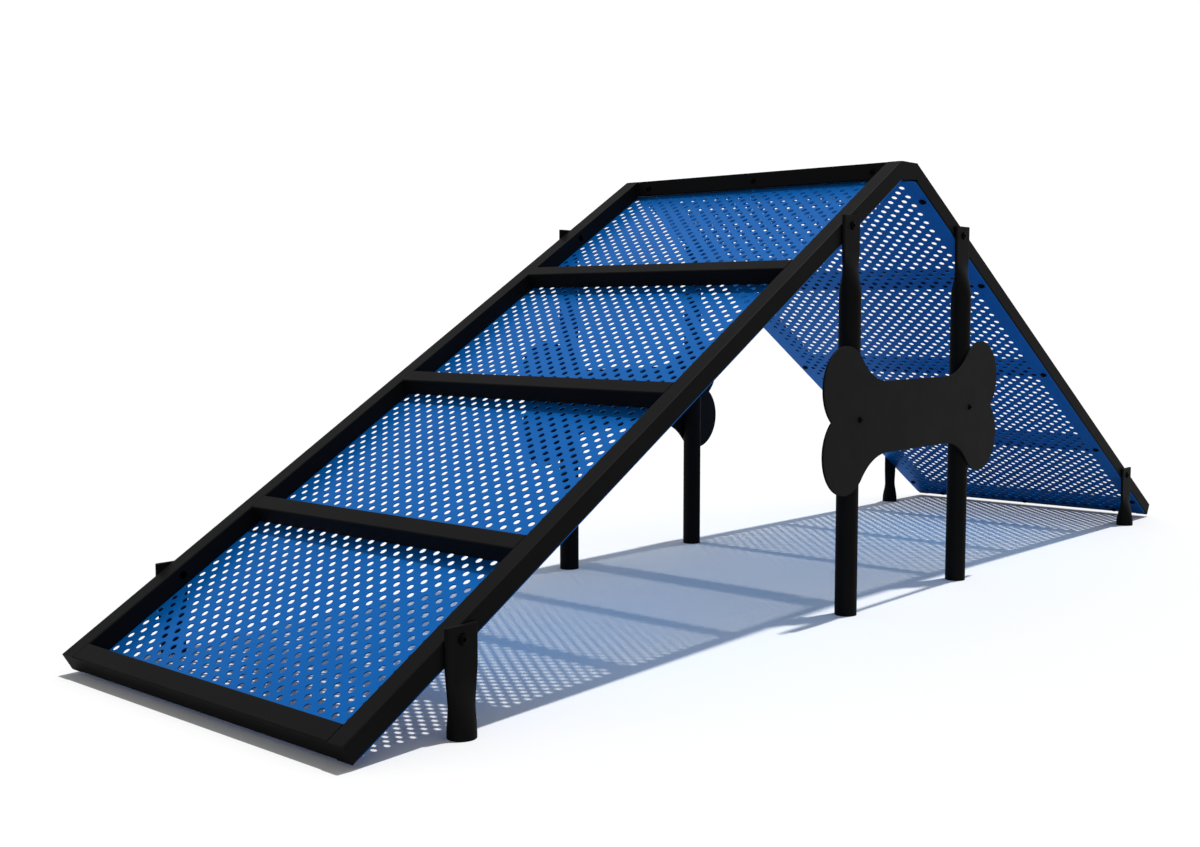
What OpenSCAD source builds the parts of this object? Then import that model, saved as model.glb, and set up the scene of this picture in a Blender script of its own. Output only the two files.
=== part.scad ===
// Agility A frame for a dog park: two perforated ramps joined at the ridge, standing on eight tube legs
// Millimetres. X runs along the ramps, Y across them, Z up, origin on the ground under the middle of the ridge.
// The front ramp climbs from low X to the ridge, the rear ramp is its mirror image. Left is high Y.

/* [Overall] */

// Ground length from one ramp's low end to the ridge
ramp_run = 1640; // [1500:10:1700]
// Height of the top of the ridge
ridge_height = 1003; // [1000:1:1060]
// Slope of each ramp in degrees
slope = 31; // [30:0.5:31]
// Width over the two side rails
frame_width = 812.8; // [760:1:860]

/* [Square tube] */

// Outer size of the square tube
tube = 38.1; // [36:0.1:40]
// Wall of the square tube
tube_wall = 2.1; // [1.6:0.1:2.6]
// Outer corner radius of the square tube
tube_round = 3; // [2.8:0.1:4]
// Distance up the slope to the lowest cleat's middle
cleat_first = 470; // [440:5:490]
// Distance between cleats up the slope
cleat_pitch = 465; // [450:5:470]

/* [Perforated panel] */

// Sheet thickness
panel_t = 2; // [1.5:0.1:3]
// Panel width
panel_w = 810; // [800:1:812]
// Start of the panel up the slope
panel_low = 10; // [8:1:12]
// End of the panel up the slope
panel_high = 1857; // [1856:1:1858]
// Panel corner radius
panel_round = 10; // [4:1:14]
// Perforation diameter
perf_d = 13.5; // [8:0.5:14]
// Half of the staggered pitch, so rows and columns lie this far apart
perf_step = 17.96; // [17:0.01:18]
// Columns of perforations up the slope
perf_cols = 101; // [61:2:101]
// Rows of perforations on each side of the middle
perf_rows = 20; // [12:1:20]
// Position up the slope of the middle column
perf_mid = 933.5; // [930:0.5:937]

/* [Legs] */

// Outer diameter of the leg tube
leg_d = 48.3; // [44:0.1:50]
// Wall of the leg tube
leg_wall = 3.7; // [2.8:0.1:4]
// Distance of the short legs from the ridge
short_x = 1410; // [1380:5:1430]
// Distance of the tall posts from the ridge
tall_x = 261; // [240:1:280]
// Width of the flattened end
flat_w = 68.4; // [62:0.2:72]
// Length of the flattened end
flat_len = 56; // [48:1:57]
// Length of the change from flat to round
blend_len = 115; // [100:1:116]
// Height of the flattened end above its bolt
flat_above = 22; // [20:1:24]
// Width of the adjusting slot
slot_w = 11.5; // [10.6:0.1:13]
// Height of the adjusting slot
slot_h = 20.5; // [16:0.5:24]

/* [Bone plaque] */

// Plate thickness
bone_t = 5; // [3:0.5:8]
// Height of the plaque's middle above the ground
bone_z = 430; // [410:5:450]
// Distance of the lobe centres from the plaque's middle
lobe_x = 318; // [300:1:330]
// Rise of the lobe centres
lobe_z = 70; // [60:1:80]
// Lobe radius
lobe_r = 90; // [84:1:96]
// Half height of the waist
waist = 80; // [70:1:90]
// Radius of the hollow curves beside the waist
hollow_r = 145; // [120:1:160]

/* [Hidden] */

body_black = [0.05, 0.05, 0.055];
panel_blue = [0.02, 0.20, 0.52];
bolt_black = [0.09, 0.09, 0.10];

half_w = frame_width / 2;
rail_in = half_w - tube;
rise = tan(slope);
low_top = ridge_height - (ramp_run - tube) * rise;
cut_top = (ramp_run - tube) / cos(slope);
cleats = [cleat_first, cleat_first + cleat_pitch, cleat_first + 2 * cleat_pitch];

// Ridge bolts
ridge_z = ridge_height - tube / 2;
ridge_bolt_y = 330.2;
m8_r = 4;
m8_hole = 4.5;
m8_head_r = 7;
m8_head_h = 4.6;
m8_nut = 13;
m8_nut_h = 6.6;

// Leg bolts
m10_r = 5;
m10_hole = 5.5;
m10_head_r = 8.75;
m10_head_h = 5.5;
m10_nut = 16;
m10_nut_h = 8.4;
access_r = 8;
drop = tube / 2 / cos(slope);
short_bolt_z = low_top + (ramp_run - short_x) * rise - drop;
tall_bolt_z = low_top + (ramp_run - tall_x) * rise - drop;
leg_y = half_w + leg_wall;
bone_in = leg_y + leg_d / 2;

// The sheet is drawn in bands of this many columns, their faces this far apart
band_cols = 5;
band_relief = 0.05;

// Panel screws
edge_y = half_w - tube / 2;
edge_u = [96.5, cleats[0], cleats[1], cleats[2], 1773.5];
low_screw_u = 19.2;
top_hole_u = 1846;
top_hole_r = 5.2;
end_y = [-305, 0, 305];
screw_r = 4;
screw_hole = 4.5;
pilot = 4.05;
screw_head_r = 6.6;
screw_head_h = 4.2;
screw_flange_r = 8.9;
screw_flange_h = 1.2;
screw_key = 5;

cap_t = 2;
seg = 40;
blend_step = 0.4;
// How far the tube and the plate reach over the two ends of that change
blend_lap = 0.3;

// Placement: a ramp's own frame has X up the slope, Z out of the walking side, and Z = 0 on top of the rails
module on_front() {
  translate([-ramp_run, 0, low_top]) rotate([0, -slope, 0]) children();
}

module on_rear() {
  mirror([1, 0, 0]) on_front() children();
}

module on_both() {
  on_front() children();
  on_rear() children();
}

// Square with rounded corners, centred
module round_square(size, r) {
  square([size, size - 2 * r], center = true);
  square([size - 2 * r, size], center = true);
  for (sx = [-1, 1]) {
    for (sy = [-1, 1]) {
      translate([sx * (size / 2 - r), sy * (size / 2 - r)]) circle(r = r, $fn = 32);
    }
  }
}

module tube_ring() {
  difference() {
    round_square(tube, tube_round);
    round_square(tube - 2 * tube_wall, tube_round - tube_wall);
  }
}

// Square tube along X from x0 to x1, its middle on the X axis
module tube_x(x0, x1) {
  translate([x0, 0, 0]) rotate([90, 0, 90]) linear_extrude(x1 - x0) tube_ring();
}

// Square tube along Y, centred
module tube_y(length) {
  rotate([90, 0, 0]) linear_extrude(length, center = true) tube_ring();
}

// Side rail in the ramp's frame, side = 1 left or -1 right
module side_rail(side) {
  bolt_u_short = (ramp_run - short_x) / cos(slope) - tube / 2 * rise;
  bolt_u_tall = (ramp_run - tall_x) / cos(slope) - tube / 2 * rise;
  out = side * half_w;
  difference() {
    translate([0, side * edge_y, -tube / 2]) tube_x(0, cut_top + 1);
    translate([cut_top, 0, 0]) rotate([0, slope, 0]) translate([0, -600, -100]) cube([200, 1200, 200]);
    for (u = [bolt_u_short, bolt_u_tall]) {
      translate([u, out - side * tube / 2, -tube / 2]) rotate([side * 90, 0, 0])
        cylinder(r = access_r, h = tube, $fn = 32);
      translate([u, out, -tube / 2]) rotate([90, 0, 0])
        cylinder(r = m10_hole, h = 12, center = true, $fn = 32);
    }
    for (u = edge_u) {
      translate([u, side * edge_y, -tube - 1]) cylinder(r = pilot, h = 6, $fn = 24);
    }
  }
}

module bottom_rail() {
  difference() {
    translate([tube / 2, 0, -tube / 2]) tube_y(2 * rail_in);
    for (y = end_y) {
      translate([low_screw_u, y, -tube - 1]) cylinder(r = pilot, h = 6, $fn = 24);
    }
  }
}

module cleat(n) {
  translate([cleats[n], 0, -tube / 2]) tube_y(2 * rail_in);
}

// Front ridge tube in the row's frame
module ridge_tube() {
  difference() {
    translate([-tube / 2, 0, ridge_z]) tube_y(frame_width);
    for (y = [-ridge_bolt_y, 0, ridge_bolt_y]) {
      translate([-tube / 2, y, ridge_z]) rotate([0, 90, 0])
        cylinder(r = m8_hole, h = tube + 2, center = true, $fn = 32);
    }
  }
}

// The sheet's outline between two places up the slope, its ends rounded where they are the sheet's own
module panel_outline(u0, u1) {
  intersection() {
    translate([u0, -panel_w / 2]) square([u1 - u0, panel_w]);
    union() {
      translate([panel_low, panel_round - panel_w / 2]) square([panel_high - panel_low, panel_w - 2 * panel_round]);
      translate([panel_low + panel_round, -panel_w / 2]) square([panel_high - panel_low - 2 * panel_round, panel_w]);
      for (u = [panel_low + panel_round, panel_high - panel_round]) {
        for (sy = [-1, 1]) {
          translate([u, sy * (panel_w / 2 - panel_round)]) circle(r = panel_round, $fn = 48);
        }
      }
    }
  }
}

// One band of the sheet, a few columns of holes long. Every other band is rolled a hair thinner
module panel_band(b) {
  mid = (perf_cols - 1) / 2;
  k0 = b * band_cols;
  k1 = min(k0 + band_cols, perf_cols) - 1;
  u0 = b == 0 ? panel_low : perf_mid + (k0 - 0.5 - mid) * perf_step;
  u1 = k1 == perf_cols - 1 ? panel_high : perf_mid + (k1 + 0.5 - mid) * perf_step;
  thin = b % 2 * band_relief;
  translate([0, 0, thin - tube - panel_t]) linear_extrude(panel_t - 2 * thin) difference() {
    if (b == 0 || k1 == perf_cols - 1) {
      panel_outline(u0, u1);
    } else {
      translate([u0, -panel_w / 2]) square([u1 - u0, panel_w]);
    }
    for (k = [k0 : k1]) {
      for (m = [-perf_rows : perf_rows]) {
        if ((k + m + 2 * perf_rows) % 2 == 0) {
          translate([perf_mid + (k - mid) * perf_step, m * perf_step]) circle(r = perf_d / 2, $fn = 24);
        }
      }
    }
    for (u = edge_u) {
      if (u > u0 && u < u1) {
        for (sy = [-1, 1]) {
          translate([u, sy * edge_y]) circle(r = screw_hole, $fn = 24);
        }
      }
    }
    for (y = end_y) {
      if (b == 0) {
        translate([low_screw_u, y]) circle(r = screw_hole, $fn = 24);
      }
      if (k1 == perf_cols - 1) {
        translate([top_hole_u, y]) circle(r = top_hole_r, $fn = 24);
      }
    }
  }
}

module perforated_panel() {
  for (b = [0 : ceil(perf_cols / band_cols) - 1]) {
    panel_band(b);
  }
}

// Point on a flattened tube's outline at fraction s of its perimeter, starting on the right and going round
function flat_point(s, w, t) =
  let (r = t / 2, l = w - t, q = PI * r / 2, p = 2 * l + 4 * q, d = s * p)
  d < q ? [l / 2 + r * cos(d / r * 180 / PI), r * sin(d / r * 180 / PI)] :
  d < q + l ? [l / 2 - (d - q), r] :
  d < 3 * q + l ? [-l / 2 + r * cos((d - l) / r * 180 / PI), r * sin((d - l) / r * 180 / PI)] :
  d < 3 * q + 2 * l ? [-l / 2 + (d - 3 * q - l), -r] :
  [l / 2 + r * cos((d - 2 * l) / r * 180 / PI), r * sin((d - 2 * l) / r * 180 / PI)];

function ease(t) = let (c = max(0, min(1, t))) c * c * (3 - 2 * c);

// One ring of the change from round to flat, k = 0 round and 1 flat. The tube thins first and widens after
function blend_ring(k, r, w, t, z) =
  let (ex = ease((k - 0.08) / 0.92), ey = ease(k / 0.8))
  [for (i = [0 : seg - 1])
    let (c = [r * cos(i * 360 / seg), r * sin(i * 360 / seg)], f = flat_point(i / seg, w, t))
    [c[0] + (f[0] - c[0]) * ex, c[1] + (f[1] - c[1]) * ey, z]];

function band(a, b, flip) =
  [for (i = [0 : seg - 1])
    let (j = (i + 1) % seg)
    each flip ?
      [[a + i, b + i, b + j], [a + i, b + j, a + j]] :
      [[a + i, b + j, b + i], [a + i, a + j, b + j]]];

// Change from round tube to flattened end, hollow inside, from z = 0 to z = h.
// It starts and ends a hair inside the tube and the flat plate that it joins
module flat_blend(h) {
  steps = 8;
  ri = leg_d / 2 - leg_wall - blend_step;
  outer = [for (n = [0 : steps])
    each blend_ring(n / steps, leg_d / 2 - blend_step, flat_w - 2 * blend_step, 2 * (leg_wall - blend_step), n / steps * h)];
  inner = [for (n = [0 : steps - 1])
    each blend_ring(n / steps, ri, flat_w - 2 * leg_wall, 0.6, n / steps * h)];
  first_in = seg * (steps + 1);
  last_in = first_in + seg * (steps - 1);
  faces_out = [for (n = [0 : steps - 1]) each band(n * seg, (n + 1) * seg, false)];
  faces_in = [for (n = [0 : steps - 2]) each band(first_in + n * seg, first_in + (n + 1) * seg, true)];
  foot = [for (i = [0 : seg - 1])
    let (j = (i + 1) % seg)
    each [[i, first_in + i, first_in + j], [i, first_in + j, j]]];
  top = [[for (i = [0 : seg - 1]) seg * steps + seg - 1 - i]];
  roof = [[for (i = [0 : seg - 1]) last_in + i]];
  polyhedron(points = concat(outer, inner), faces = concat(faces_out, faces_in, foot, top, roof), convexity = 8);
}

// A leg standing on the ground with its bolt at bolt_z; the flattened end's thickness lies along Y
module leg(bolt_z) {
  top = bolt_z + flat_above;
  flat_z = top - flat_len;
  round_z = flat_z - blend_len;
  difference() {
    union() {
      difference() {
        cylinder(d = leg_d, h = round_z + blend_lap, $fn = 64);
        translate([0, 0, -1]) cylinder(d = leg_d - 2 * leg_wall, h = round_z + 2, $fn = 64);
      }
      translate([0, 0, round_z]) flat_blend(blend_len);
      translate([0, 0, flat_z - blend_lap]) linear_extrude(flat_len + blend_lap) {
        square([flat_w - 2 * leg_wall, 2 * leg_wall], center = true);
        for (sx = [-1, 1]) {
          translate([sx * (flat_w / 2 - leg_wall), 0]) circle(r = leg_wall, $fn = 32);
        }
      }
    }
    translate([0, 20, bolt_z]) rotate([90, 0, 0]) linear_extrude(40) {
      square([slot_w, slot_h - slot_w], center = true);
      for (sz = [-1, 1]) {
        translate([0, sz * (slot_h - slot_w) / 2]) circle(d = slot_w, $fn = 32);
      }
    }
    if (bolt_z > 400) {
      translate([0, 0, bone_z]) rotate([90, 0, 0]) cylinder(r = m8_hole, h = 80, center = true, $fn = 32);
    }
  }
}

module placed_leg(sx, side, x, bolt_z) {
  translate([sx * x, side * leg_y, 0]) leg(bolt_z);
}

// Quarter of the bone's outline beyond the waist: a lobe and the hollow curve that joins it to the waist
module bone_quarter() {
  fx = lobe_x - sqrt(pow(hollow_r + lobe_r, 2) - pow(waist + hollow_r - lobe_z, 2));
  difference() {
    polygon([[lobe_x, lobe_z], [fx, waist + hollow_r], [fx, waist], [fx, 0], [lobe_x, 0]]);
    translate([fx, waist + hollow_r]) circle(r = hollow_r, $fn = 96);
  }
}

module bone_outline() {
  square([2 * lobe_x, 2 * lobe_z], center = true);
  square([2 * (lobe_x - 190), 2 * waist], center = true);
  for (sx = [-1, 1]) {
    for (sz = [-1, 1]) {
      translate([sx * lobe_x, sz * lobe_z]) circle(r = lobe_r, $fn = 96);
      scale([sx, sz]) bone_quarter();
    }
  }
}

// Plaque on the outside of the tall posts, side = 1 left or -1 right
module bone_plaque(side) {
  shift = side > 0 ? bone_in + bone_t : -bone_in;
  translate([0, shift, bone_z]) rotate([90, 0, 0]) linear_extrude(bone_t) difference() {
    bone_outline();
    for (sx = [-1, 1]) {
      translate([sx * tall_x, 0]) circle(r = m8_hole, $fn = 32);
    }
  }
}

// Button head bolt: the head stands above z = 0 and the shank hangs below it
module button_bolt(head_r, head_h, shank_r, length, key) {
  difference() {
    union() {
      rotate_extrude($fn = 48) difference() {
        intersection() {
          translate([0, -head_r * 1.05]) circle(r = head_r * 1.05 + head_h, $fn = 96);
          square([head_r, head_h]);
        }
      }
      translate([0, 0, -length]) cylinder(r = shank_r, h = length + 0.5, $fn = 32);
    }
    translate([0, 0, head_h * 0.42]) cylinder(d = key / cos(30), h = head_h, $fn = 6);
  }
}

module hex_nut(flats, h, bore) {
  difference() {
    cylinder(d = flats / cos(30), h = h, $fn = 6);
    translate([0, 0, -1]) cylinder(r = bore, h = h + 2, $fn = 32);
  }
}

// Puts a child, built along +Z, on the outside of one side of the frame at height z
module facing_side(x, side, y, z) {
  translate([x, side * y, z]) rotate([-side * 90, 0, 0]) children();
}

module leg_bolts() {
  out = leg_y + leg_wall;
  for (sx = [-1, 1]) {
    for (side = [-1, 1]) {
      facing_side(sx * short_x, side, out, short_bolt_z)
        button_bolt(m10_head_r, m10_head_h, m10_r, 24, 6);
      facing_side(sx * tall_x, side, out, tall_bolt_z)
        button_bolt(m10_head_r, m10_head_h, m10_r, 24, 6);
    }
  }
}

module leg_nuts() {
  y = half_w - tube_wall - m10_nut_h;
  for (sx = [-1, 1]) {
    for (side = [-1, 1]) {
      facing_side(sx * short_x, side, y, short_bolt_z) hex_nut(m10_nut, m10_nut_h, m10_r + 0.05);
      facing_side(sx * tall_x, side, y, tall_bolt_z) hex_nut(m10_nut, m10_nut_h, m10_r + 0.05);
    }
  }
}

module ridge_bolts() {
  for (y = [-ridge_bolt_y, 0, ridge_bolt_y]) {
    translate([-tube, y, ridge_z]) rotate([0, -90, 0])
      button_bolt(m8_head_r, m8_head_h, m8_r, 2 * tube + m8_nut_h + 2, 5);
  }
}

module ridge_nuts() {
  for (y = [-ridge_bolt_y, 0, ridge_bolt_y]) {
    translate([tube, y, ridge_z]) rotate([0, 90, 0]) hex_nut(m8_nut, m8_nut_h, m8_r + 0.05);
  }
}

module plaque_bolts() {
  for (sx = [-1, 1]) {
    for (side = [-1, 1]) {
      facing_side(sx * tall_x, side, bone_in + bone_t, bone_z)
        button_bolt(m8_head_r, m8_head_h, m8_r, bone_t + leg_d + m8_nut_h + 2, 5);
    }
  }
}

module plaque_nuts() {
  y = leg_y - leg_d / 2 - m8_nut_h;
  for (sx = [-1, 1]) {
    for (side = [-1, 1]) {
      facing_side(sx * tall_x, side, y, bone_z) hex_nut(m8_nut, m8_nut_h, m8_r + 0.05);
    }
  }
}

// Flanged button screw driven up through the panel into the tube's wall, its head below z = 0
module panel_screw() {
  difference() {
    union() {
      rotate_extrude($fn = 40) {
        translate([0, -screw_flange_h]) square([screw_flange_r, screw_flange_h]);
        difference() {
          translate([0, -screw_head_h]) square([screw_head_r, screw_head_h]);
          translate([screw_head_r, -screw_head_h]) rotate(45) square([2, 2], center = true);
        }
      }
      translate([0, 0, -0.5]) cylinder(r = screw_r, h = 12, $fn = 24);
    }
    translate([0, 0, -screw_head_h - 1]) cylinder(d = screw_key / cos(30), h = 3.2, $fn = 6);
  }
}

module ramp_screws() {
  for (u = edge_u) {
    for (sy = [-1, 1]) {
      translate([u, sy * edge_y, -tube - panel_t]) panel_screw();
    }
  }
  for (y = end_y) {
    translate([low_screw_u, y, -tube - panel_t]) panel_screw();
  }
}

module end_plate() {
  linear_extrude(cap_t) round_square(tube - 2 * tube_wall, tube_round - tube_wall);
}

module rail_end_caps() {
  on_both() {
    for (side = [-1, 1]) {
      translate([0, side * edge_y, -tube / 2]) rotate([90, 0, 90]) end_plate();
    }
  }
}

module ridge_end_caps() {
  for (sx = [-1, 1]) {
    for (side = [-1, 1]) {
      translate([sx * tube / 2, side * (half_w - cap_t / 2) + cap_t / 2, ridge_z]) rotate([90, 0, 0]) end_plate();
    }
  }
}

color(body_black) on_front() side_rail(1);  // front_left_side_rail
color(body_black) on_front() side_rail(-1);  // front_right_side_rail
color(body_black) on_front() bottom_rail();  // front_bottom_rail
color(body_black) on_front() cleat(0);  // front_cleat_low
color(body_black) on_front() cleat(1);  // front_cleat_mid
color(body_black) on_front() cleat(2);  // front_cleat_high
color(body_black) ridge_tube();  // front_ridge_tube
color(panel_blue) on_front() perforated_panel();  // front_perforated_panel
color(body_black) on_rear() side_rail(1);  // rear_left_side_rail
color(body_black) on_rear() side_rail(-1);  // rear_right_side_rail
color(body_black) on_rear() bottom_rail();  // rear_bottom_rail
color(body_black) on_rear() cleat(0);  // rear_cleat_low
color(body_black) on_rear() cleat(1);  // rear_cleat_mid
color(body_black) on_rear() cleat(2);  // rear_cleat_high
color(body_black) mirror([1, 0, 0]) ridge_tube();  // rear_ridge_tube
color(panel_blue) on_rear() perforated_panel();  // rear_perforated_panel
color(body_black) placed_leg(-1, 1, short_x, short_bolt_z);  // front_left_short_leg
color(body_black) placed_leg(-1, -1, short_x, short_bolt_z);  // front_right_short_leg
color(body_black) placed_leg(1, 1, short_x, short_bolt_z);  // rear_left_short_leg
color(body_black) placed_leg(1, -1, short_x, short_bolt_z);  // rear_right_short_leg
color(body_black) placed_leg(-1, 1, tall_x, tall_bolt_z);  // front_left_tall_post
color(body_black) placed_leg(-1, -1, tall_x, tall_bolt_z);  // front_right_tall_post
color(body_black) placed_leg(1, 1, tall_x, tall_bolt_z);  // rear_left_tall_post
color(body_black) placed_leg(1, -1, tall_x, tall_bolt_z);  // rear_right_tall_post
color(body_black) bone_plaque(1);  // left_bone_plaque
color(body_black) bone_plaque(-1);  // right_bone_plaque
color(bolt_black) leg_bolts();
color(bolt_black) leg_nuts();
color(bolt_black) ridge_bolts();
color(bolt_black) ridge_nuts();
color(bolt_black) plaque_bolts();
color(bolt_black) plaque_nuts();
color(bolt_black) ramp_screws_all();  // panel_screws
color(body_black) rail_end_caps();
color(body_black) ridge_end_caps();

module ramp_screws_all() {
  on_both() ramp_screws();
}
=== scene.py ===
import math
import bpy
import bmesh
from mathutils import Matrix, Vector


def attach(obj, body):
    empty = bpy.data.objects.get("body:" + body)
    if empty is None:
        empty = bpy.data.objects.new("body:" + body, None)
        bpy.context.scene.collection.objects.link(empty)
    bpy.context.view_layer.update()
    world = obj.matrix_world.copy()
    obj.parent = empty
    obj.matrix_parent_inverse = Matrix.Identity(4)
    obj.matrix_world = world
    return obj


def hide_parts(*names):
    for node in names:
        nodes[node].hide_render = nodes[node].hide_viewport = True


print("A frame: reading the packed model")
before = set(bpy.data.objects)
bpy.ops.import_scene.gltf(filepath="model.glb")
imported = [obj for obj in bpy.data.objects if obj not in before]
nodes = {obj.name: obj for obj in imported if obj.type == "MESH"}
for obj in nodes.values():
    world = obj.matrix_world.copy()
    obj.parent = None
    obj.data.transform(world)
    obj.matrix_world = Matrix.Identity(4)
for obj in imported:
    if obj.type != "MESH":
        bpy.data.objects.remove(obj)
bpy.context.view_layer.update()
scene = bpy.context.scene

# Camera, the same place and lens as the photograph
view = {
    "place": (-2.8318, -1.9346, 0.6623),
    "turn": (85.30, 0.0, -48.94),
    "lens": 40.75,
    "sensor": 36.0,
    "reach": 200.0,
}
cameraData = bpy.data.cameras.new("photoView")
cameraData.sensor_fit = "HORIZONTAL"
cameraData.sensor_width = view["sensor"]
cameraData.lens = view["lens"]
cameraData.clip_end = view["reach"]
camera = bpy.data.objects.new("photoView", cameraData)
camera.location = view["place"]
camera.rotation_euler = [math.radians(a) for a in view["turn"]]
scene.collection.objects.link(camera)
scene.camera = camera
scene.view_settings.view_transform = "Standard"

# The frame's own sizes, in metres, as the CAD has them
ramp = {
    "run": 1.640,
    "ridge": 1.003,
    "slope": math.radians(31.0),
    "tube": 0.0381,
    "halfWidth": 0.4064,
    "cleats": (0.470, 0.935, 1.400),
}
ramp["lowTop"] = ramp["ridge"] - (ramp["run"] - ramp["tube"]) * math.tan(ramp["slope"])


# A point given up the slope, across and above the rails' tops, on the front or rear ramp
def onRamp(up, across, above, rear=False):
    c = math.cos(ramp["slope"])
    s = math.sin(ramp["slope"])
    x = -ramp["run"] + up * c - above * s
    z = ramp["lowTop"] + up * s + above * c
    return Vector((-x if rear else x, across, z))


# Adds a node, links the inputs that are sockets and sets the others
def addNode(tree, kind, inputs=None, **settings):
    node = tree.nodes.new(kind)
    for name, value in settings.items():
        setattr(node, name, value)
    for key, value in (inputs or {}).items():
        if isinstance(value, bpy.types.NodeSocket):
            tree.links.new(value, node.inputs[key])
        else:
            node.inputs[key].default_value = value
    return node


def newMaterial(name):
    mat = bpy.data.materials.new(name)
    mat.use_nodes = True
    tree = mat.node_tree
    tree.nodes.clear()
    shader = tree.nodes.new("ShaderNodeBsdfPrincipled")
    addNode(tree, "ShaderNodeOutputMaterial", {"Surface": shader.outputs["BSDF"]})
    return mat, tree, shader


def objectNoise(tree, scale, detail, rough):
    coords = addNode(tree, "ShaderNodeTexCoord").outputs["Object"]
    noise = addNode(tree, "ShaderNodeTexNoise", {
        "Vector": coords, "Scale": scale, "Detail": detail, "Roughness": rough})
    return noise.outputs["Fac"]


def colourRamp(tree, value, stops):
    node = addNode(tree, "ShaderNodeValToRGB", {"Fac": value})
    for place, (position, colour) in enumerate(stops):
        spot = node.color_ramp.elements[place]
        spot.position = position
        spot.color = (*colour, 1.0)
    return node.outputs["Color"]


# What all the powder coats share: how fine their patches, haze and orange peel are
powder = {
    "patchDetail": 4.0,
    "patchRough": 0.6,
    "darkUpTo": 0.32,
    "lightFrom": 0.68,
    "hazeScale": 24.0,
    "hazeDetail": 3.0,
    "hazeRough": 0.55,
    "peelDetail": 2.0,
    "peelRough": 0.5,
    "peelDepth": 0.0002,
}


# Powder coat: an even colour with faint patches, a dull haze and a fine orange peel
def powderCoat(name, look):
    mat, tree, shader = newMaterial(name)
    tone = objectNoise(tree, look["patch"], powder["patchDetail"], powder["patchRough"])
    colour = colourRamp(tree, tone, [
        (powder["darkUpTo"], look["dark"]), (powder["lightFrom"], look["light"])])
    tree.links.new(colour, shader.inputs["Base Color"])
    haze = objectNoise(tree, powder["hazeScale"], powder["hazeDetail"], powder["hazeRough"])
    dull = addNode(tree, "ShaderNodeMapRange", {
        "Value": haze, "To Min": look["rough"][0], "To Max": look["rough"][1]})
    tree.links.new(dull.outputs["Result"], shader.inputs["Roughness"])
    peel = objectNoise(tree, look["peelScale"], powder["peelDetail"], powder["peelRough"])
    bump = addNode(tree, "ShaderNodeBump", {
        "Height": peel, "Strength": look["peel"], "Distance": powder["peelDepth"]})
    tree.links.new(bump.outputs["Normal"], shader.inputs["Normal"])
    shader.inputs["Specular IOR Level"].default_value = look["shine"]
    shader.inputs["Metallic"].default_value = look["metal"]
    return mat


blackCoat = powderCoat("blackCoat", {
    "dark": (0.0060, 0.0060, 0.0061), "light": (0.0078, 0.0078, 0.0079), "patch": 6.0,
    "rough": (0.42, 0.56), "peelScale": 900.0, "peel": 0.18, "shine": 0.038, "metal": 0.0})
plaqueCoat = powderCoat("plaqueCoat", {
    "dark": (0.0084, 0.0084, 0.0085), "light": (0.0100, 0.0100, 0.0101), "patch": 7.0,
    "rough": (0.46, 0.60), "peelScale": 900.0, "peel": 0.14, "shine": 0.060, "metal": 0.0})
blueCoat = powderCoat("blueCoat", {
    "dark": (0.0030, 0.146, 0.535), "light": (0.0038, 0.160, 0.580), "patch": 5.0,
    "rough": (0.30, 0.42), "peelScale": 900.0, "peel": 0.12, "shine": 0.0, "metal": 0.6})
# Fasteners: a black oxide finish, set much darker than the black coat so bolt and screw heads read as dark
# holes. Part of that darkness is the finish's own colour and part is painted shade of a shadowed hole.
blackOxideHoleShade = powderCoat("blackOxideHoleShade", {
    "dark": (0.0014, 0.0014, 0.0014), "light": (0.0026, 0.0026, 0.0027), "patch": 90.0,
    "rough": (0.34, 0.50), "peelScale": 1500.0, "peel": 0.10, "shine": 0.03, "metal": 0.0})


def coat(obj, mat):
    if not obj.material_slots:
        obj.data.materials.append(mat)
    for slot in obj.material_slots:
        slot.material = mat


for name, obj in nodes.items():
    if "perforated_panel" in name:
        coat(obj, blueCoat)
    # Bolts, nuts and screws get the extra-dark coat, partly painted hole shade
    elif name.endswith(("bolts", "nuts", "screws")):
        coat(obj, blackOxideHoleShade)
    elif "bone_plaque" in name:
        coat(obj, plaqueCoat)
    else:
        coat(obj, blackCoat)
print("A frame: coats on", len(nodes), "pieces")

# Points this close together become one
mergeWithin = 0.00001


# Smooth shading with creases wherever two faces turn by more than the angle
def smoothMesh(mesh, crease=40.0):
    mesh.polygons.foreach_set("use_smooth", [True] * len(mesh.polygons))
    mesh.set_sharp_from_angle(angle=math.radians(crease))
    mesh.update()


def addPiece(name, mesh, mat, replaced=()):
    piece = bpy.data.objects.new(name, mesh)
    scene.collection.objects.link(piece)
    coat(piece, mat)
    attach(piece, "root")
    if replaced:
        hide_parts(*replaced)
    return piece


# Plain mesh of an object with its modifiers applied; the object itself goes
def appliedMesh(obj, name):
    graph = bpy.context.evaluated_depsgraph_get()
    mesh = bpy.data.meshes.new_from_object(obj.evaluated_get(graph))
    mesh.name = name
    bpy.data.objects.remove(obj)
    return mesh


# Runs a Geometry Nodes tree with the given named inputs and returns the plain mesh it makes
def grow(name, tree, values, base=None):
    carrier = bpy.data.objects.new(name + "Carrier", base or bpy.data.meshes.new(name + "Base"))
    scene.collection.objects.link(carrier)
    modifier = carrier.modifiers.new("grow", "NODES")
    modifier.node_group = tree
    for item in tree.interface.items_tree:
        if item.item_type == "SOCKET" and item.in_out == "INPUT" and item.name in values:
            modifier[item.identifier] = values[item.name]
    return appliedMesh(carrier, name)


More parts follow.
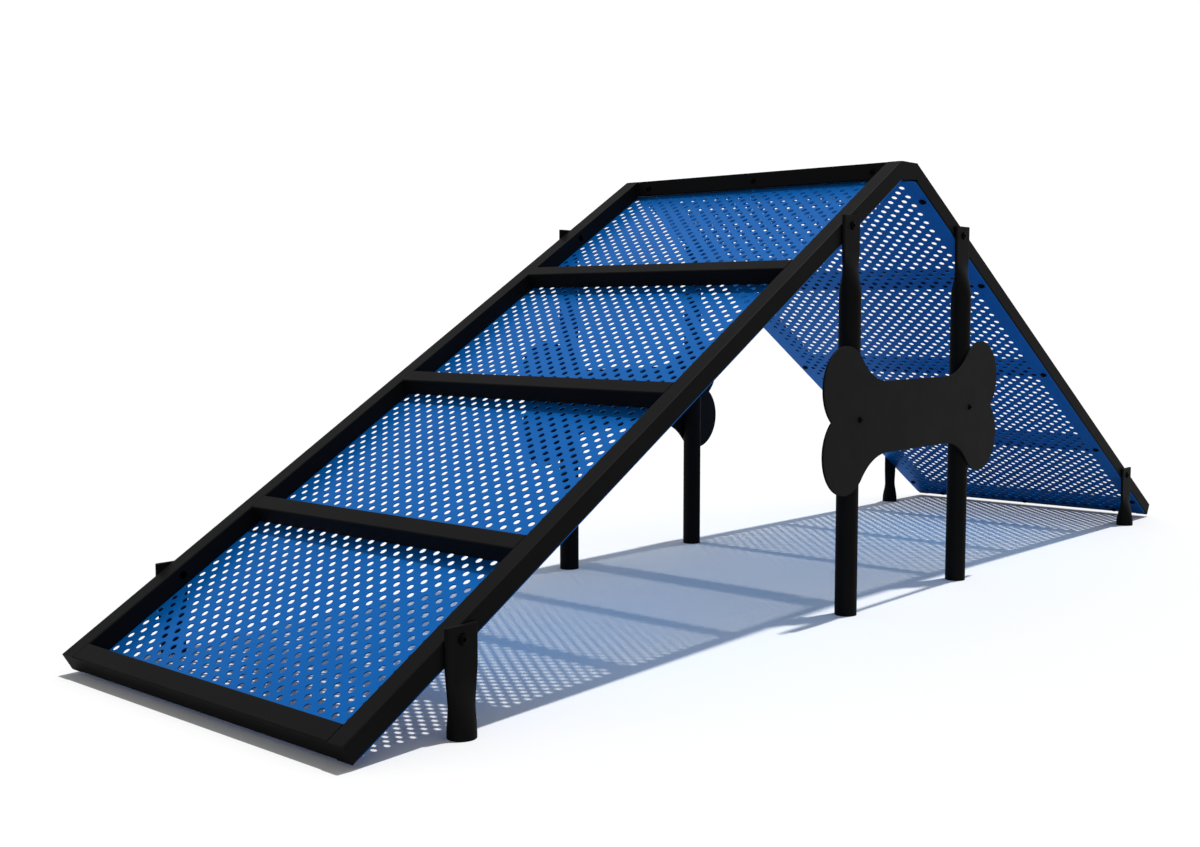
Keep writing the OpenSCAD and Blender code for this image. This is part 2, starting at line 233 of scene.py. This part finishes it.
# A tree with its named inputs, and the sockets that hand them out
def newTree(name, inputs):
    tree = bpy.data.node_groups.new(name, "GeometryNodeTree")
    tree.interface.new_socket("Geometry", in_out="INPUT", socket_type="NodeSocketGeometry")
    for label, (kind, value) in inputs.items():
        socket = tree.interface.new_socket(label, in_out="INPUT", socket_type="NodeSocket" + kind)
        if value is not None:
            socket.default_value = value
    tree.interface.new_socket("Geometry", in_out="OUTPUT", socket_type="NodeSocketGeometry")
    return tree, addNode(tree, "NodeGroupInput").outputs


# The end of every tree: real meshes with their coat
def endTree(tree, geometry, mat):
    real = addNode(tree, "GeometryNodeRealizeInstances", {"Geometry": geometry})
    coated = addNode(tree, "GeometryNodeSetMaterial", {"Geometry": real.outputs[0], "Material": mat})
    addNode(tree, "NodeGroupOutput", {0: coated.outputs[0]})
    return tree


# Perforated sheets: a rounded outline filled round staggered holes, then given its thickness
sheet = {
    "low": 0.010,
    "high": 1.857,
    "width": 0.8074,
    "corner": 0.010,
    "cornerFacets": 8,
    "thickness": 0.002,
    "hole": 0.0135,
    "holeFacets": 20,
    "step": 0.01796,
    "columns": 101,
    "rows": 41,
    "middle": 0.9335,
    "endHole": 0.0104,
    "endHoleFacets": 28,
    "endAt": 1.846,
    "endSpacing": 0.305,
}


def sheetTree():
    tree, given = newTree("perforatedSheet", {
        "Length": ("Float", 1.8), "Width": ("Float", 0.8), "Corner": ("Float", 0.01),
        "Start": ("Float", 0.0), "Thickness": ("Float", 0.002), "Hole diameter": ("Float", 0.0135),
        "Step": ("Float", 0.018), "Columns": ("Int", 3), "Rows": ("Int", 3), "Middle": ("Float", 0.9),
        "Hole facets": ("Int", 16), "End hole": ("Float", 0.01), "End place": ("Float", 1.8),
        "End spacing": ("Float", 0.3), "Depth": ("Float", 0.0), "Slope": ("Float", 0.0),
        "Base": ("Vector", (0.0, 0.0, 0.0)), "Half turn": ("Float", 0.0), "Coat": ("Material", None)})

    def sums(operation, a, b):
        return addNode(tree, "ShaderNodeMath", {0: a, 1: b}, operation=operation).outputs[0]

    def vector(x, y, z):
        return addNode(tree, "ShaderNodeCombineXYZ", {"X": x, "Y": y, "Z": z}).outputs[0]

    def circle(facets, diameter):
        return addNode(tree, "GeometryNodeCurvePrimitiveCircle", {
            "Resolution": facets, "Radius": sums("DIVIDE", diameter, 2.0)}).outputs["Curve"]

    def joined(*parts):
        node = addNode(tree, "GeometryNodeJoinGeometry")
        for part in parts:
            tree.links.new(part, node.inputs[0])
        return node.outputs[0]

    def merged(geometry):
        return addNode(tree, "GeometryNodeMergeByDistance", {
            "Geometry": geometry, "Distance": mergeWithin}).outputs[0]

    def filled(curves):
        return addNode(tree, "GeometryNodeFillCurve", {"Curve": curves}, mode="TRIANGLES").outputs[0]

    def moved(geometry, **how):
        return addNode(tree, "GeometryNodeTransform", {"Geometry": geometry, **how}).outputs[0]

    # Staggered grid: every other point of a square grid stays
    sizeX = sums("MULTIPLY", given["Step"], sums("SUBTRACT", given["Columns"], 1.0))
    sizeY = sums("MULTIPLY", given["Step"], sums("SUBTRACT", given["Rows"], 1.0))
    grid = addNode(tree, "GeometryNodeMeshGrid", {
        "Size X": sizeX, "Size Y": sizeY, "Vertices X": given["Columns"], "Vertices Y": given["Rows"]})
    index = addNode(tree, "GeometryNodeInputIndex").outputs[0]
    column = sums("FLOOR", sums("DIVIDE", sums("ADD", index, 0.5), given["Rows"]), 0.0)
    row = sums("SUBTRACT", index, sums("MULTIPLY", column, given["Rows"]))
    odd = sums("GREATER_THAN", sums("MODULO", sums("ADD", column, row), 2.0), 0.5)
    lastColumn = sums("GREATER_THAN", column, sums("SUBTRACT", given["Columns"], 1.5))
    endColumn = sums("MAXIMUM", sums("LESS_THAN", column, 0.5), lastColumn)

    def spots(left):
        kept = addNode(tree, "GeometryNodeDeleteGeometry", {
            "Geometry": grid.outputs["Mesh"], "Selection": sums("MAXIMUM", odd, left)}, domain="POINT")
        return moved(kept.outputs[0], Translation=vector(given["Middle"], 0.0, 0.0))

    def placed(points, shape):
        copies = addNode(tree, "GeometryNodeInstanceOnPoints", {"Points": points, "Instance": shape})
        return addNode(tree, "GeometryNodeRealizeInstances", {"Geometry": copies.outputs[0]}).outputs[0]

    # One diamond of sheet round each hole; together they cover the punched field
    diamond = circle(4, sums("MULTIPLY", given["Step"], 2.0))
    ring = circle(given["Hole facets"], given["Hole diameter"])
    field = merged(placed(spots(endColumn), filled(joined(ring, diamond))))

    # The field's zigzag border: the long edges with a face on one side only
    ends = addNode(tree, "GeometryNodeInputMeshEdgeVertices").outputs
    length = addNode(tree, "ShaderNodeVectorMath", {
        0: ends["Position 1"], 1: ends["Position 2"]}, operation="DISTANCE").outputs["Value"]
    faces = addNode(tree, "GeometryNodeInputMeshEdgeNeighbors").outputs[0]
    border = sums("MULTIPLY", sums("LESS_THAN", faces, 1.5), sums("GREATER_THAN", length, given["Step"]))
    zigzag = addNode(tree, "GeometryNodeMeshToCurve", {"Mesh": field, "Selection": border})

    # Three open holes across the top end, one in the middle and one on each side
    line = addNode(tree, "GeometryNodeMeshLine", {
        "Count": 3,
        "Start Location": vector(given["End place"], sums("MULTIPLY", given["End spacing"], -1.0), 0.0),
        "Offset": vector(0.0, given["End spacing"], 0.0)})
    endHoles = placed(line.outputs[0], circle(sheet["endHoleFacets"], given["End hole"]))

    # The margin between the field and the rounded outline, with the first and last column of holes
    endRings = placed(spots(sums("SUBTRACT", 1.0, endColumn)), ring)
    outline = addNode(tree, "GeometryNodeCurvePrimitiveQuadrilateral", {
        "Width": given["Length"], "Height": given["Width"]})
    rounded = addNode(tree, "GeometryNodeFilletCurve", {
        "Curve": outline.outputs[0], "Count": sheet["cornerFacets"], "Radius": given["Corner"]}, mode="POLY")
    middle = sums("ADD", given["Start"], sums("DIVIDE", given["Length"], 2.0))
    outer = moved(rounded.outputs[0], Translation=vector(middle, 0.0, 0.0))
    margin = filled(joined(outer, endHoles, endRings, zigzag.outputs[0]))

    # Thickness: the face pushed up, and the same face turned over below it
    face = merged(joined(field, margin))
    thick = addNode(tree, "GeometryNodeExtrudeMesh", {
        "Mesh": face, "Offset": vector(0.0, 0.0, given["Thickness"]), "Individual": False}, mode="FACES")
    under = addNode(tree, "GeometryNodeFlipFaces", {"Mesh": face})
    closed = merged(joined(thick.outputs["Mesh"], under.outputs[0]))

    # From flat to its place on the ramp
    lowered = moved(closed, Translation=vector(0.0, 0.0, given["Depth"]))
    sloped = moved(lowered, Translation=given["Base"], Rotation=vector(0.0, given["Slope"], 0.0))
    turned = moved(sloped, Rotation=vector(0.0, 0.0, given["Half turn"]))
    return endTree(tree, turned, given["Coat"])


sheetGrower = sheetTree()
for end, turn in (("front", 0.0), ("rear", math.pi)):
    panelMesh = grow(end + "PerforatedSheet", sheetGrower, {
        "Length": sheet["high"] - sheet["low"], "Width": sheet["width"], "Corner": sheet["corner"],
        "Start": sheet["low"], "Thickness": sheet["thickness"], "Hole diameter": sheet["hole"],
        "Step": sheet["step"], "Columns": sheet["columns"], "Rows": sheet["rows"],
        "Middle": sheet["middle"], "Hole facets": sheet["holeFacets"], "End hole": sheet["endHole"],
        "End place": sheet["endAt"], "End spacing": sheet["endSpacing"],
        "Depth": -ramp["tube"] - sheet["thickness"], "Slope": -ramp["slope"],
        "Base": (-ramp["run"], 0.0, ramp["lowTop"]), "Half turn": turn, "Coat": blueCoat})
    smoothMesh(panelMesh)
    addPiece(end + "PerforatedSheet", panelMesh, blueCoat, [end + "_perforated_panel"])
    print("A frame:", end, "sheet,", len(panelMesh.polygons), "faces")


# Legs: round tube pressed flat at the top, with a slot for the bolt
leg = {
    "radius": 0.02415,
    "wall": 0.0037,
    "flatWidth": 0.0684,
    "flatLength": 0.056,
    "blendLength": 0.115,
    "widenFrom": 0.08,
    "thinBy": 0.8,
    "boreTo": 0.9,  # the bore ends this far along the blend
    "boreGap": 0.0006,
    "aboveBolt": 0.022,
    "footEase": 0.0005,
    "topEase": 0.0006,
    "topEaseHeight": 0.0007,
    "slotWidth": 0.0115,
    "slotHeight": 0.0205,
    "slotFacets": 12,
    "sides": 64,
    "steps": 26,
    "crease": 35.0,
    "across": 0.4101,
    "shortX": 1.410,
    "tallX": 0.261,
    "plaqueZ": 0.430,
    "plaqueHole": 0.0045,
    "plaqueHoleFacets": 24,
    "cutReach": 0.06,
}


def ease(t):
    c = max(0.0, min(1.0, t))
    return c * c * (3.0 - 2.0 * c)


def arcPoints(cx, cz, radius, start, stop, count):
    return [(cx + radius * math.cos(start + (stop - start) * i / count),
             cz + radius * math.sin(start + (stop - start) * i / count)) for i in range(count + 1)]


# Point on a flattened tube's outline, share being how far round it lies
def flatPoint(share, width, thick):
    r = thick / 2
    straight = width - thick
    quarter = math.pi * r / 2
    d = share * (2 * straight + 4 * quarter)
    if d < quarter:
        return straight / 2 + r * math.cos(d / r), r * math.sin(d / r)
    if d < quarter + straight:
        return straight / 2 - (d - quarter), r
    if d < 3 * quarter + straight:
        a = (d - straight) / r
        return -straight / 2 + r * math.cos(a), r * math.sin(a)
    if d < 3 * quarter + 2 * straight:
        return -straight / 2 + (d - 3 * quarter - straight), -r
    a = (d - 2 * straight) / r
    return straight / 2 + r * math.cos(a), r * math.sin(a)


# One ring of the tube at height z, flatness 0 round and 1 flat
def legRing(flatness, radius, z, width, thick):
    sideways = ease((flatness - leg["widenFrom"]) / (1.0 - leg["widenFrom"]))
    thinning = ease(flatness / leg["thinBy"])
    ring = []
    for i in range(leg["sides"]):
        a = 2 * math.pi * i / leg["sides"]
        cx, cy = radius * math.cos(a), radius * math.sin(a)
        fx, fy = flatPoint(i / leg["sides"], width, thick)
        ring.append((cx + (fx - cx) * sideways, cy + (fy - cy) * thinning, z))
    return ring


# Faces between rings that follow each other; those of a bore face inwards
def ringFaces(first, rings, inward=False):
    n = leg["sides"]
    faces = []
    for a in range(first, first + (rings - 1) * n, n):
        for i in range(n):
            j = (i + 1) % n
            if inward:
                faces.append((a + j, a + i, a + n + i, a + n + j))
            else:
                faces.append((a + i, a + j, a + n + j, a + n + i))
    return faces


# The pressed tube before its holes are cut, standing on the floor at the origin
def legBlank(name, boltZ):
    top = boltZ + leg["aboveBolt"]
    roundZ = top - leg["flatLength"] - leg["blendLength"]
    radius, bore = leg["radius"], leg["radius"] - leg["wall"]
    foot, edge = leg["footEase"], leg["topEase"]
    width, thick = leg["flatWidth"], 2 * leg["wall"]
    slit = (width - thick, leg["boreGap"])
    outside = [legRing(0, radius - foot, 0.0, width, thick),
               legRing(0, radius, foot, width, thick),
               legRing(0, radius, roundZ, width, thick)]
    inside = [legRing(0, bore + foot, 0.0, *slit), legRing(0, bore, foot, *slit),
              legRing(0, bore, roundZ, *slit)]
    for i in range(1, leg["steps"] + 1):
        k = i / leg["steps"]
        z = roundZ + k * leg["blendLength"]
        outside.append(legRing(k, radius, z, width, thick))
        if k < leg["boreTo"]:
            inside.append(legRing(k, bore, z, *slit))
    outside.append(legRing(1, radius, top - leg["topEaseHeight"], width, thick))
    outside.append(legRing(1, radius, top, width - 2 * edge, thick - 2 * edge))
    n = leg["sides"]
    boreStart = len(outside) * n
    topRing = boreStart - n
    boreEnd = boreStart + (len(inside) - 1) * n
    faces = ringFaces(0, len(outside)) + ringFaces(boreStart, len(inside), inward=True)
    faces += [(i, boreStart + i, boreStart + (i + 1) % n, (i + 1) % n) for i in range(n)]
    faces.append(tuple(topRing + i for i in range(n)))
    faces.append(tuple(boreEnd + n - 1 - i for i in range(n)))
    mesh = bpy.data.meshes.new(name)
    mesh.from_pydata([p for ring in outside + inside for p in ring], [], faces)
    obj = bpy.data.objects.new(name + "Blank", mesh)
    scene.collection.objects.link(obj)
    return obj


# A cutter through the tube, its outline given in X and Z
def cutterAcross(points, name):
    mesh = bpy.data.meshes.new(name)
    n = len(points)
    reach = leg["cutReach"]
    verts = [(x, -reach, z) for x, z in points] + [(x, reach, z) for x, z in points]
    faces = [tuple(range(n)), tuple(range(2 * n - 1, n - 1, -1))]
    faces += [(i, i + n, (i + 1) % n + n, (i + 1) % n) for i in range(n)]
    mesh.from_pydata(verts, [], faces)
    shape = bmesh.new()
    shape.from_mesh(mesh)
    bmesh.ops.recalc_face_normals(shape, faces=shape.faces)
    shape.to_mesh(mesh)
    shape.free()
    obj = bpy.data.objects.new(name, mesh)
    scene.collection.objects.link(obj)
    return obj


def legMesh(name, x, y, boltZ, plaqueBolt):
    obj = legBlank(name, boltZ)
    radius = leg["slotWidth"] / 2
    straight = (leg["slotHeight"] - leg["slotWidth"]) / 2
    slot = arcPoints(0.0, boltZ + straight, radius, 0.0, math.pi, leg["slotFacets"])
    slot += [(-px, 2 * boltZ - pz) for px, pz in slot]
    cutters = [cutterAcross(slot, name + "Slot")]
    if plaqueBolt:
        hole = arcPoints(0.0, leg["plaqueZ"], leg["plaqueHole"], 0.0, 2 * math.pi, leg["plaqueHoleFacets"])
        cutters.append(cutterAcross(hole[:-1], name + "Hole"))
    for cutter in cutters:
        cut = obj.modifiers.new("cut", "BOOLEAN")
        cut.operation = "DIFFERENCE"
        cut.solver = "EXACT"
        cut.object = cutter
    done = appliedMesh(obj, name)
    for cutter in cutters:
        bpy.data.objects.remove(cutter)
    done.transform(Matrix.Translation((x, y, 0.0)))
    smoothMesh(done, leg["crease"])
    return done


# Height of the leg bolts, in the middle of the rail at this distance from the ridge
def boltHeight(x):
    rise = (ramp["run"] - x) * math.tan(ramp["slope"])
    return ramp["lowTop"] + rise - ramp["tube"] / 2 / math.cos(ramp["slope"])


for end, sx in (("front", -1), ("rear", 1)):
    for side, sy in (("left", 1), ("right", -1)):
        for kind, x, tall in (("short_leg", leg["shortX"], False), ("tall_post", leg["tallX"], True)):
            node = "_".join((end, side, kind))
            made = legMesh(node + "Tube", sx * x, sy * leg["across"], boltHeight(x), tall)
            addPiece(node + "Tube", made, blackCoat, [node])
print("A frame: eight flattened tube legs")

# Bone plaques: plate with eased edges, two holes where the tall posts stand
plaque = {
    "z": leg["plaqueZ"],
    "inner": 0.43425,
    "thick": 0.005,
    "lobeX": 0.318,
    "lobeZ": 0.070,
    "lobe": 0.090,
    "lobeFacets": 64,
    "waist": 0.080,
    "hollow": 0.145,
    "hollowFacets": 24,
    "ease": 0.0006,
    "easeSteps": 2,
    "hole": leg["plaqueHole"],
    "holeFacets": 32,
    "crease": 50.0,
    "flatAbove": 0.999,
}


# A quarter of the bone is a hollow from the waist and a lobe up to its notch; the rest is mirrored
def boneOutline():
    reach = plaque["hollow"] + plaque["lobe"]
    centreZ = plaque["waist"] + plaque["hollow"]
    rise = centreZ - plaque["lobeZ"]
    centreX = plaque["lobeX"] - math.sqrt(reach * reach - rise * rise)
    toLobe = math.atan2(-rise, plaque["lobeX"] - centreX)
    notch = math.asin(plaque["lobeZ"] / plaque["lobe"])
    quarter = arcPoints(centreX, centreZ, plaque["hollow"], -math.pi / 2, toLobe, plaque["hollowFacets"])
    quarter += arcPoints(plaque["lobeX"], plaque["lobeZ"], plaque["lobe"],
                         math.pi + toLobe, -notch, plaque["lobeFacets"])[1:]
    right = quarter + [(x, -z) for x, z in reversed(quarter[:-1])]
    return right + [(-x, -z) for x, z in right]


def boneMesh(name, side):
    curve = bpy.data.curves.new(name, "CURVE")
    curve.dimensions = "2D"
    curve.fill_mode = "BOTH"
    curve.extrude = plaque["thick"] / 2 - plaque["ease"]
    curve.bevel_depth = plaque["ease"]
    curve.bevel_resolution = plaque["easeSteps"]
    curve.offset = -plaque["ease"]
    rings = [boneOutline()]
    for sx in (-1, 1):
        hole = arcPoints(sx * leg["tallX"], 0.0, plaque["hole"], 0.0, 2 * math.pi, plaque["holeFacets"])
        rings.append(hole[:-1])
    for points in rings:
        spline = curve.splines.new("POLY")
        spline.points.add(len(points) - 1)
        for spot, (x, z) in zip(spline.points, points):
            spot.co = (x, z, 0.0, 1.0)
        spline.use_cyclic_u = True
    obj = bpy.data.objects.new(name + "Curve", curve)
    scene.collection.objects.link(obj)
    mesh = appliedMesh(obj, name)
    shape = bmesh.new()
    shape.from_mesh(mesh)
    bmesh.ops.remove_doubles(shape, verts=shape.verts, dist=mergeWithin)
    middle = side * (plaque["inner"] + plaque["thick"] / 2)
    stand = Matrix.Translation((0.0, middle, plaque["z"])) @ Matrix.Rotation(math.pi / 2, 4, "X")
    shape.transform(stand)
    bmesh.ops.recalc_face_normals(shape, faces=shape.faces)
    shape.to_mesh(mesh)
    shape.free()
    smoothMesh(mesh, plaque["crease"])
    for face in mesh.polygons:
        if abs(face.normal.y) > plaque["flatAbove"]:
            face.use_smooth = False
    return mesh


for side, sy in (("left", 1), ("right", -1)):
    node = side + "_bone_plaque"
    addPiece(node + "Plate", boneMesh(node + "Plate", sy), plaqueCoat, [node])
print("A frame: two bone plaques")

# Weld beads in the inner corners, a row of overlapping ripples along each seam
weld = {
    "radius": 0.0021,
    "pitch": 0.0017,
    "margin": 0.0035,
    "segments": 10,
    "rings": 6,
    "smallest": (0.90, 0.90, 0.80),
    "largest": (1.08, 1.08, 0.95),
    "seed": 7,
    "crease": 80.0,
}


def weldTree():
    tree, given = newTree("weldBeads", {
        "Radius": ("Float", 0.002), "Pitch": ("Float", 0.0017), "Coat": ("Material", None)})
    seams = addNode(tree, "GeometryNodeMeshToCurve", {"Mesh": given["Geometry"]})
    spots = addNode(tree, "GeometryNodeCurveToPoints", {
        "Curve": seams.outputs[0], "Length": given["Pitch"]}, mode="LENGTH")
    drop = addNode(tree, "GeometryNodeMeshUVSphere", {
        "Segments": weld["segments"], "Rings": weld["rings"], "Radius": given["Radius"]})
    size = addNode(tree, "FunctionNodeRandomValue", {
        "Min": weld["smallest"], "Max": weld["largest"], "Seed": weld["seed"]}, data_type="FLOAT_VECTOR")
    row = addNode(tree, "GeometryNodeInstanceOnPoints", {
        "Points": spots.outputs["Points"], "Instance": drop.outputs["Mesh"],
        "Rotation": spots.outputs["Rotation"], "Scale": size.outputs[0]})
    return endTree(tree, row.outputs[0], given["Coat"])


# Both ends of every seam of one ramp: cleats and bottom rail on the side rails, and the ridge tube
def seamEnds(rear):
    inner = ramp["halfWidth"] - ramp["tube"]
    ups = [ramp["tube"]]
    for cleat in ramp["cleats"]:
        ups += [cleat - ramp["tube"] / 2, cleat + ramp["tube"] / 2]
    ridgeX = ramp["tube"] if rear else -ramp["tube"]
    ends = []
    for y in (-inner, inner):
        for up in ups:
            ends.append(onRamp(up, y, -weld["margin"], rear))
            ends.append(onRamp(up, y, weld["margin"] - ramp["tube"], rear))
        ends.append(Vector((ridgeX, y, ramp["ridge"] - weld["margin"])))
        ends.append(Vector((ridgeX, y, ramp["ridge"] - ramp["tube"] + weld["margin"])))
    return ends


weldGrower = weldTree()
for end, rear in (("front", False), ("rear", True)):
    ends = seamEnds(rear)
    base = bpy.data.meshes.new(end + "Seams")
    base.from_pydata(ends, [(i, i + 1) for i in range(0, len(ends), 2)], [])
    beads = grow(end + "WeldBeads", weldGrower, {
        "Radius": weld["radius"], "Pitch": weld["pitch"], "Coat": blackCoat}, base)
    smoothMesh(beads, weld["crease"])
    addPiece(end + "WeldBeads", beads, blackCoat)
print("A frame: weld beads")

# Floor, pale where it is seen and darker for the light that it throws back up
floorLook = {"size": 60.0, "seen": 0.92, "thrown": 0.50, "rough": 0.85, "shine": 0.1}
half = floorLook["size"] / 2
floorMesh = bpy.data.meshes.new("floor")
floorMesh.from_pydata([(-half, -half, 0), (half, -half, 0), (half, half, 0), (-half, half, 0)], [],
                      [(0, 1, 2, 3)])
floor = bpy.data.objects.new("floor", floorMesh)
scene.collection.objects.link(floor)
floorCoat, floorNodes, floorShader = newMaterial("paleFloor")
floorSeen = addNode(floorNodes, "ShaderNodeLightPath").outputs["Is Camera Ray"]
floorTone = addNode(floorNodes, "ShaderNodeMapRange", {
    "Value": floorSeen, "To Min": floorLook["thrown"], "To Max": floorLook["seen"]})
floorNodes.links.new(floorTone.outputs["Result"], floorShader.inputs["Base Color"])
floorShader.inputs["Roughness"].default_value = floorLook["rough"]
floorShader.inputs["Specular IOR Level"].default_value = floorLook["shine"]
coat(floor, floorCoat)

# Light: one lamp almost overhead and an even white room, brighter in reflections than it lights
light = {
    "strength": 2.50,
    "spread": 1.9,
    "from": (0.205, -0.0586, 0.977),
    "room": 0.36,
    "mirrored": 0.6,
    "backdrop": 1.05,
}
lamp = bpy.data.lights.new("overhead", "SUN")
lamp.energy = light["strength"]
lamp.angle = math.radians(light["spread"])
lampObject = bpy.data.objects.new("overhead", lamp)
lampObject.rotation_euler = Vector(light["from"]).to_track_quat("Z", "Y").to_euler()
scene.collection.objects.link(lampObject)

room = bpy.data.worlds.new("whiteRoom")
scene.world = room
room.use_nodes = True
roomTree = room.node_tree
roomTree.nodes.clear()


def whiteGlow(strength):
    return addNode(roomTree, "ShaderNodeBackground", {"Color": (1, 1, 1, 1), "Strength": strength}).outputs[0]


def chosenBy(ray, otherwise, glow):
    return addNode(roomTree, "ShaderNodeMixShader", {0: ray, 1: otherwise, 2: glow}).outputs[0]


rays = addNode(roomTree, "ShaderNodeLightPath").outputs
roomGlow = chosenBy(rays["Is Glossy Ray"], whiteGlow(light["room"]), whiteGlow(light["mirrored"]))
roomSeen = chosenBy(rays["Is Camera Ray"], roomGlow, whiteGlow(light["backdrop"]))
addNode(roomTree, "ShaderNodeOutputWorld", {"Surface": roomSeen})

# Blue light thrown down by the sheets, one soft panel under each ramp that only lights what is below
bounce = {
    "power": 1.20,
    "colour": (0.0, 0.40, 1.0),
    "length": 1.30,
    "width": 0.74,
    "middle": 1.12,
    "below": 0.060,
}
for end, rear in (("front", False), ("rear", True)):
    glow = bpy.data.lights.new(end + "Bounce", "AREA")
    glow.shape = "RECTANGLE"
    glow.size = bounce["length"]
    glow.size_y = bounce["width"]
    glow.energy = bounce["power"]
    glow.color = bounce["colour"]
    glowObject = bpy.data.objects.new(end + "Bounce", glow)
    glowObject.location = onRamp(bounce["middle"], 0.0, -bounce["below"], rear)
    glowObject.rotation_euler = (0.0, ramp["slope"] if rear else -ramp["slope"], 0.0)
    glowObject.visible_camera = False
    glowObject.visible_glossy = False
    scene.collection.objects.link(glowObject)
print("A frame: floor and light")
